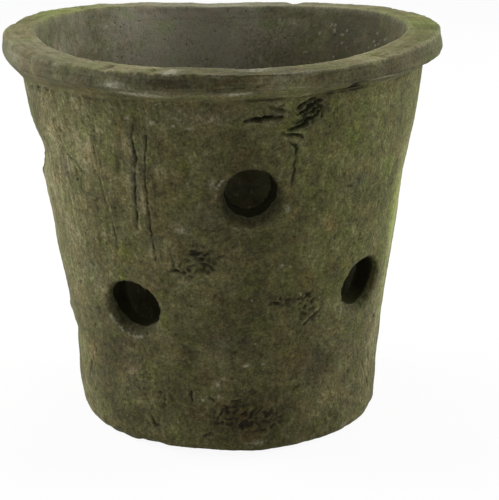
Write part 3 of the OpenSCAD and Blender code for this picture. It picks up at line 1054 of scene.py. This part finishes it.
def aged_clay(name):
    """Weathered clay under a patchy film, with painted shade in hollows and holes and painted light in
    places.
    """
    material = bare_material(name)
    s = Shader(material.node_tree)
    place = s.scaled(s.add("ShaderNodeTexCoord").outputs["Object"], 1 / MM, 1 / MM, 1 / MM)
    made = (s.noise(place, *layer) for layer in CLAY_LAYERS)
    broad, patchy, mottle, grain, streak, hue, greyish, specks, dots = made
    tone, grit = s.mask("tone"), s.mask("grit")
    shares = (broad, 0.5), (patchy, 0.7), (mottle, grit), (grain, grit), (streak, s.mask("fibre"))
    for layer, share in shares:
        tone = s.math("ADD", tone, s.math("MULTIPLY", s.math("SUBTRACT", layer, 0.5), share))
    colour = s.ramp(tone, FILM_TONES)

    colour = s.tinted(s.between(hue, 0.5, 0.38, 0, 0.65), colour, GREEN_TINT)
    colour = s.tinted(s.between(hue, 0.5, 0.62, 0, 0.65), colour, WARM_TINT)
    moss = s.math("MULTIPLY", s.mask("moss"), s.between(mottle, 0.25, 0.6, 0.5, 1.1), clamp=True)
    colour = s.tinted(moss, colour, MOSS_TINT)
    warm = s.math("MULTIPLY", s.mask("warm"), s.between(patchy, 0.35, 0.6, 0.3, 1))
    colour = s.tinted(warm, colour, RUST_TINT)
    grey = s.between(greyish, 0.5, 0.68, 0, 0.35)
    colour = s.tinted(s.math("ADD", grey, s.mask("grey"), clamp=True), colour, GREY_TINT)

    colour = s.mix(s.between(specks, 0.68, 0.76, 0, 0.35), colour, LIME_AND_PAINTED_LIGHT)
    dots = s.between(dots, 0.61, 0.72, 0, 0.55)
    colour = s.mix(dots, colour, DARK_SPECKS_AND_SHADE)
    # Pale marks: worn and pale clay, with painted highlights on the holes' lips and the rim's sharp edge,
    # and painted light inside
    pale = s.math("MULTIPLY", s.mask("pale"), s.between(grain, 0.35, 0.6, 0.2, 0.8))
    colour = s.mix(pale, colour, LIME_AND_PAINTED_LIGHT)
    # Painted shade in cuts, tears, pits and creases, from the pit mask, with ragged edges
    ragged = s.math("ADD", s.math("MULTIPLY", grain, 2), mottle)
    pit = s.math("MULTIPLY", s.mask("pit"), s.math("SUBTRACT", ragged, 0.5))
    colour = s.mix(s.between(pit, 0.1, 1, 0, 0.9), colour, DARK_SPECKS_AND_SHADE)
    # Painted shade in and round the holes and deep inside the pot, near black
    bore = s.mask("bore")
    colour = s.mix(s.math("MULTIPLY", bore, 0.92), colour, HOLLOW_SHADE)

    height = s.math("ADD", s.math("MULTIPLY", grain, 0.4), s.math("MULTIPLY", mottle, 0.5))
    height = s.math("SUBTRACT", height, s.math("MULTIPLY", dots, 0.4))
    bump = s.add("ShaderNodeBump", {
        "Height": height, "Strength": BUMP_STRENGTH, "Distance": BUMP_HEIGHT * MM,
    })
    shader = s.add("ShaderNodeBsdfPrincipled", {
        "Base Color": colour, "Roughness": s.between(mottle, 0.3, 0.7, 0.82, 0.97),
        "Normal": bump.outputs[0], "Specular IOR Level": s.between(bore, 0.3, 1, 0.2, 0.02),
    })
    s.add("ShaderNodeOutputMaterial", {"Surface": shader.outputs[0]})
    return material


build_wall(aged_clay("aged_clay_wall"))
build_rim(aged_clay("aged_clay_rim"))
build_floor(aged_clay("aged_clay_floor"))


# Stage, in metres
FLOOR_SIZE = 3.0
FLOOR_COLOUR = (0.8, 0.8, 0.8, 1)
# Share of plain white in the floor where it is seen directly
FLOOR_WHITE = 0.93
# Strength of the world's light on the pot
WORLD_LEVEL = 0.34
# Lamps: name, azimuth from the camera's, distance, height, size, and power in watts
LAMPS = [
    ("lamp_left", -104, 0.9, 0.45, 0.6, 12),
    ("lamp_right", 108, 0.9, 0.45, 0.6, 10),
    ("lamp_top", 180, 0.35, 1.0, 0.6, 2.5),
]


def seen_directly(s):
    """1 for rays that show the background itself: camera, mirror and see-through rays."""
    rays = s.add("ShaderNodeLightPath").outputs
    through = s.math("MAXIMUM", rays["Is Camera Ray"], rays["Is Glossy Ray"])
    return s.math("MAXIMUM", through, rays["Is Transmission Ray"])


def build_floor_plane():
    """Pale floor that shows nearly white and keeps a soft shadow of the pot."""
    bpy.ops.mesh.primitive_plane_add(size=FLOOR_SIZE)
    floor = bpy.context.object
    floor.name = "stage_floor"
    material = bare_material("stage_floor")
    s = Shader(material.node_tree)
    matte = s.add("ShaderNodeBsdfDiffuse", {"Color": FLOOR_COLOUR})
    white = s.add("ShaderNodeEmission", {"Strength": 1.0})
    share = s.math("MULTIPLY", seen_directly(s), FLOOR_WHITE)
    mix = s.add("ShaderNodeMixShader", {0: share, 1: matte.outputs[0], 2: white.outputs[0]})
    s.add("ShaderNodeOutputMaterial", {"Surface": mix.outputs[0]})
    floor.data.materials.append(material)


def build_world():
    """White behind the pot, and a plain even level of light from all round."""
    world = bpy.data.worlds.new("studio")
    world.use_nodes = True
    s = Shader(world.node_tree)
    level = s.add("ShaderNodeMapRange", {"Value": seen_directly(s), "To Min": WORLD_LEVEL, "To Max": 1.0})
    background = s.tree.nodes["Background"]
    s.put(background.inputs["Color"], (1, 1, 1, 1))
    s.put(background.inputs["Strength"], level.outputs[0])
    bpy.context.scene.world = world


def heading(az):
    """Unit vector level with the floor, towards that azimuth."""
    a = np.radians(az)
    return np.array([np.sin(a), -np.cos(a), 0])


def add_lamp(name, turn, distance, height, size, power):
    """A soft square lamp, aimed at the middle of the pot."""
    lamp = bpy.data.lights.new(name, "AREA")
    lamp.size = size
    lamp.energy = power
    obj = bpy.data.objects.new(name, lamp)
    obj.location = heading(CAMERA_SIDE + turn) * distance + [0, 0, height]
    aim = Vector((0, 0, POT_H * MM / 2)) - obj.location
    obj.rotation_euler = aim.to_track_quat("-Z", "Y").to_euler()
    bpy.context.scene.collection.objects.link(obj)


def build_camera():
    """The camera, where the photo's was."""
    camera = bpy.data.cameras.new("camera")
    camera.lens = CAMERA_LENS
    obj = bpy.data.objects.new("camera", camera)
    obj.location = heading(CAMERA_SIDE) * CAMERA_REACH * MM + [0, 0, CAMERA_H * MM]
    obj.rotation_euler = np.radians([90 - CAMERA_DOWN, 0, CAMERA_SIDE - CAMERA_TURN])
    bpy.context.scene.collection.objects.link(obj)
    bpy.context.scene.camera = obj


build_floor_plane()
build_world()
build_camera()
for lamp in LAMPS:
    add_lamp(*lamp)
bpy.context.scene.view_settings.view_transform = "Standard"
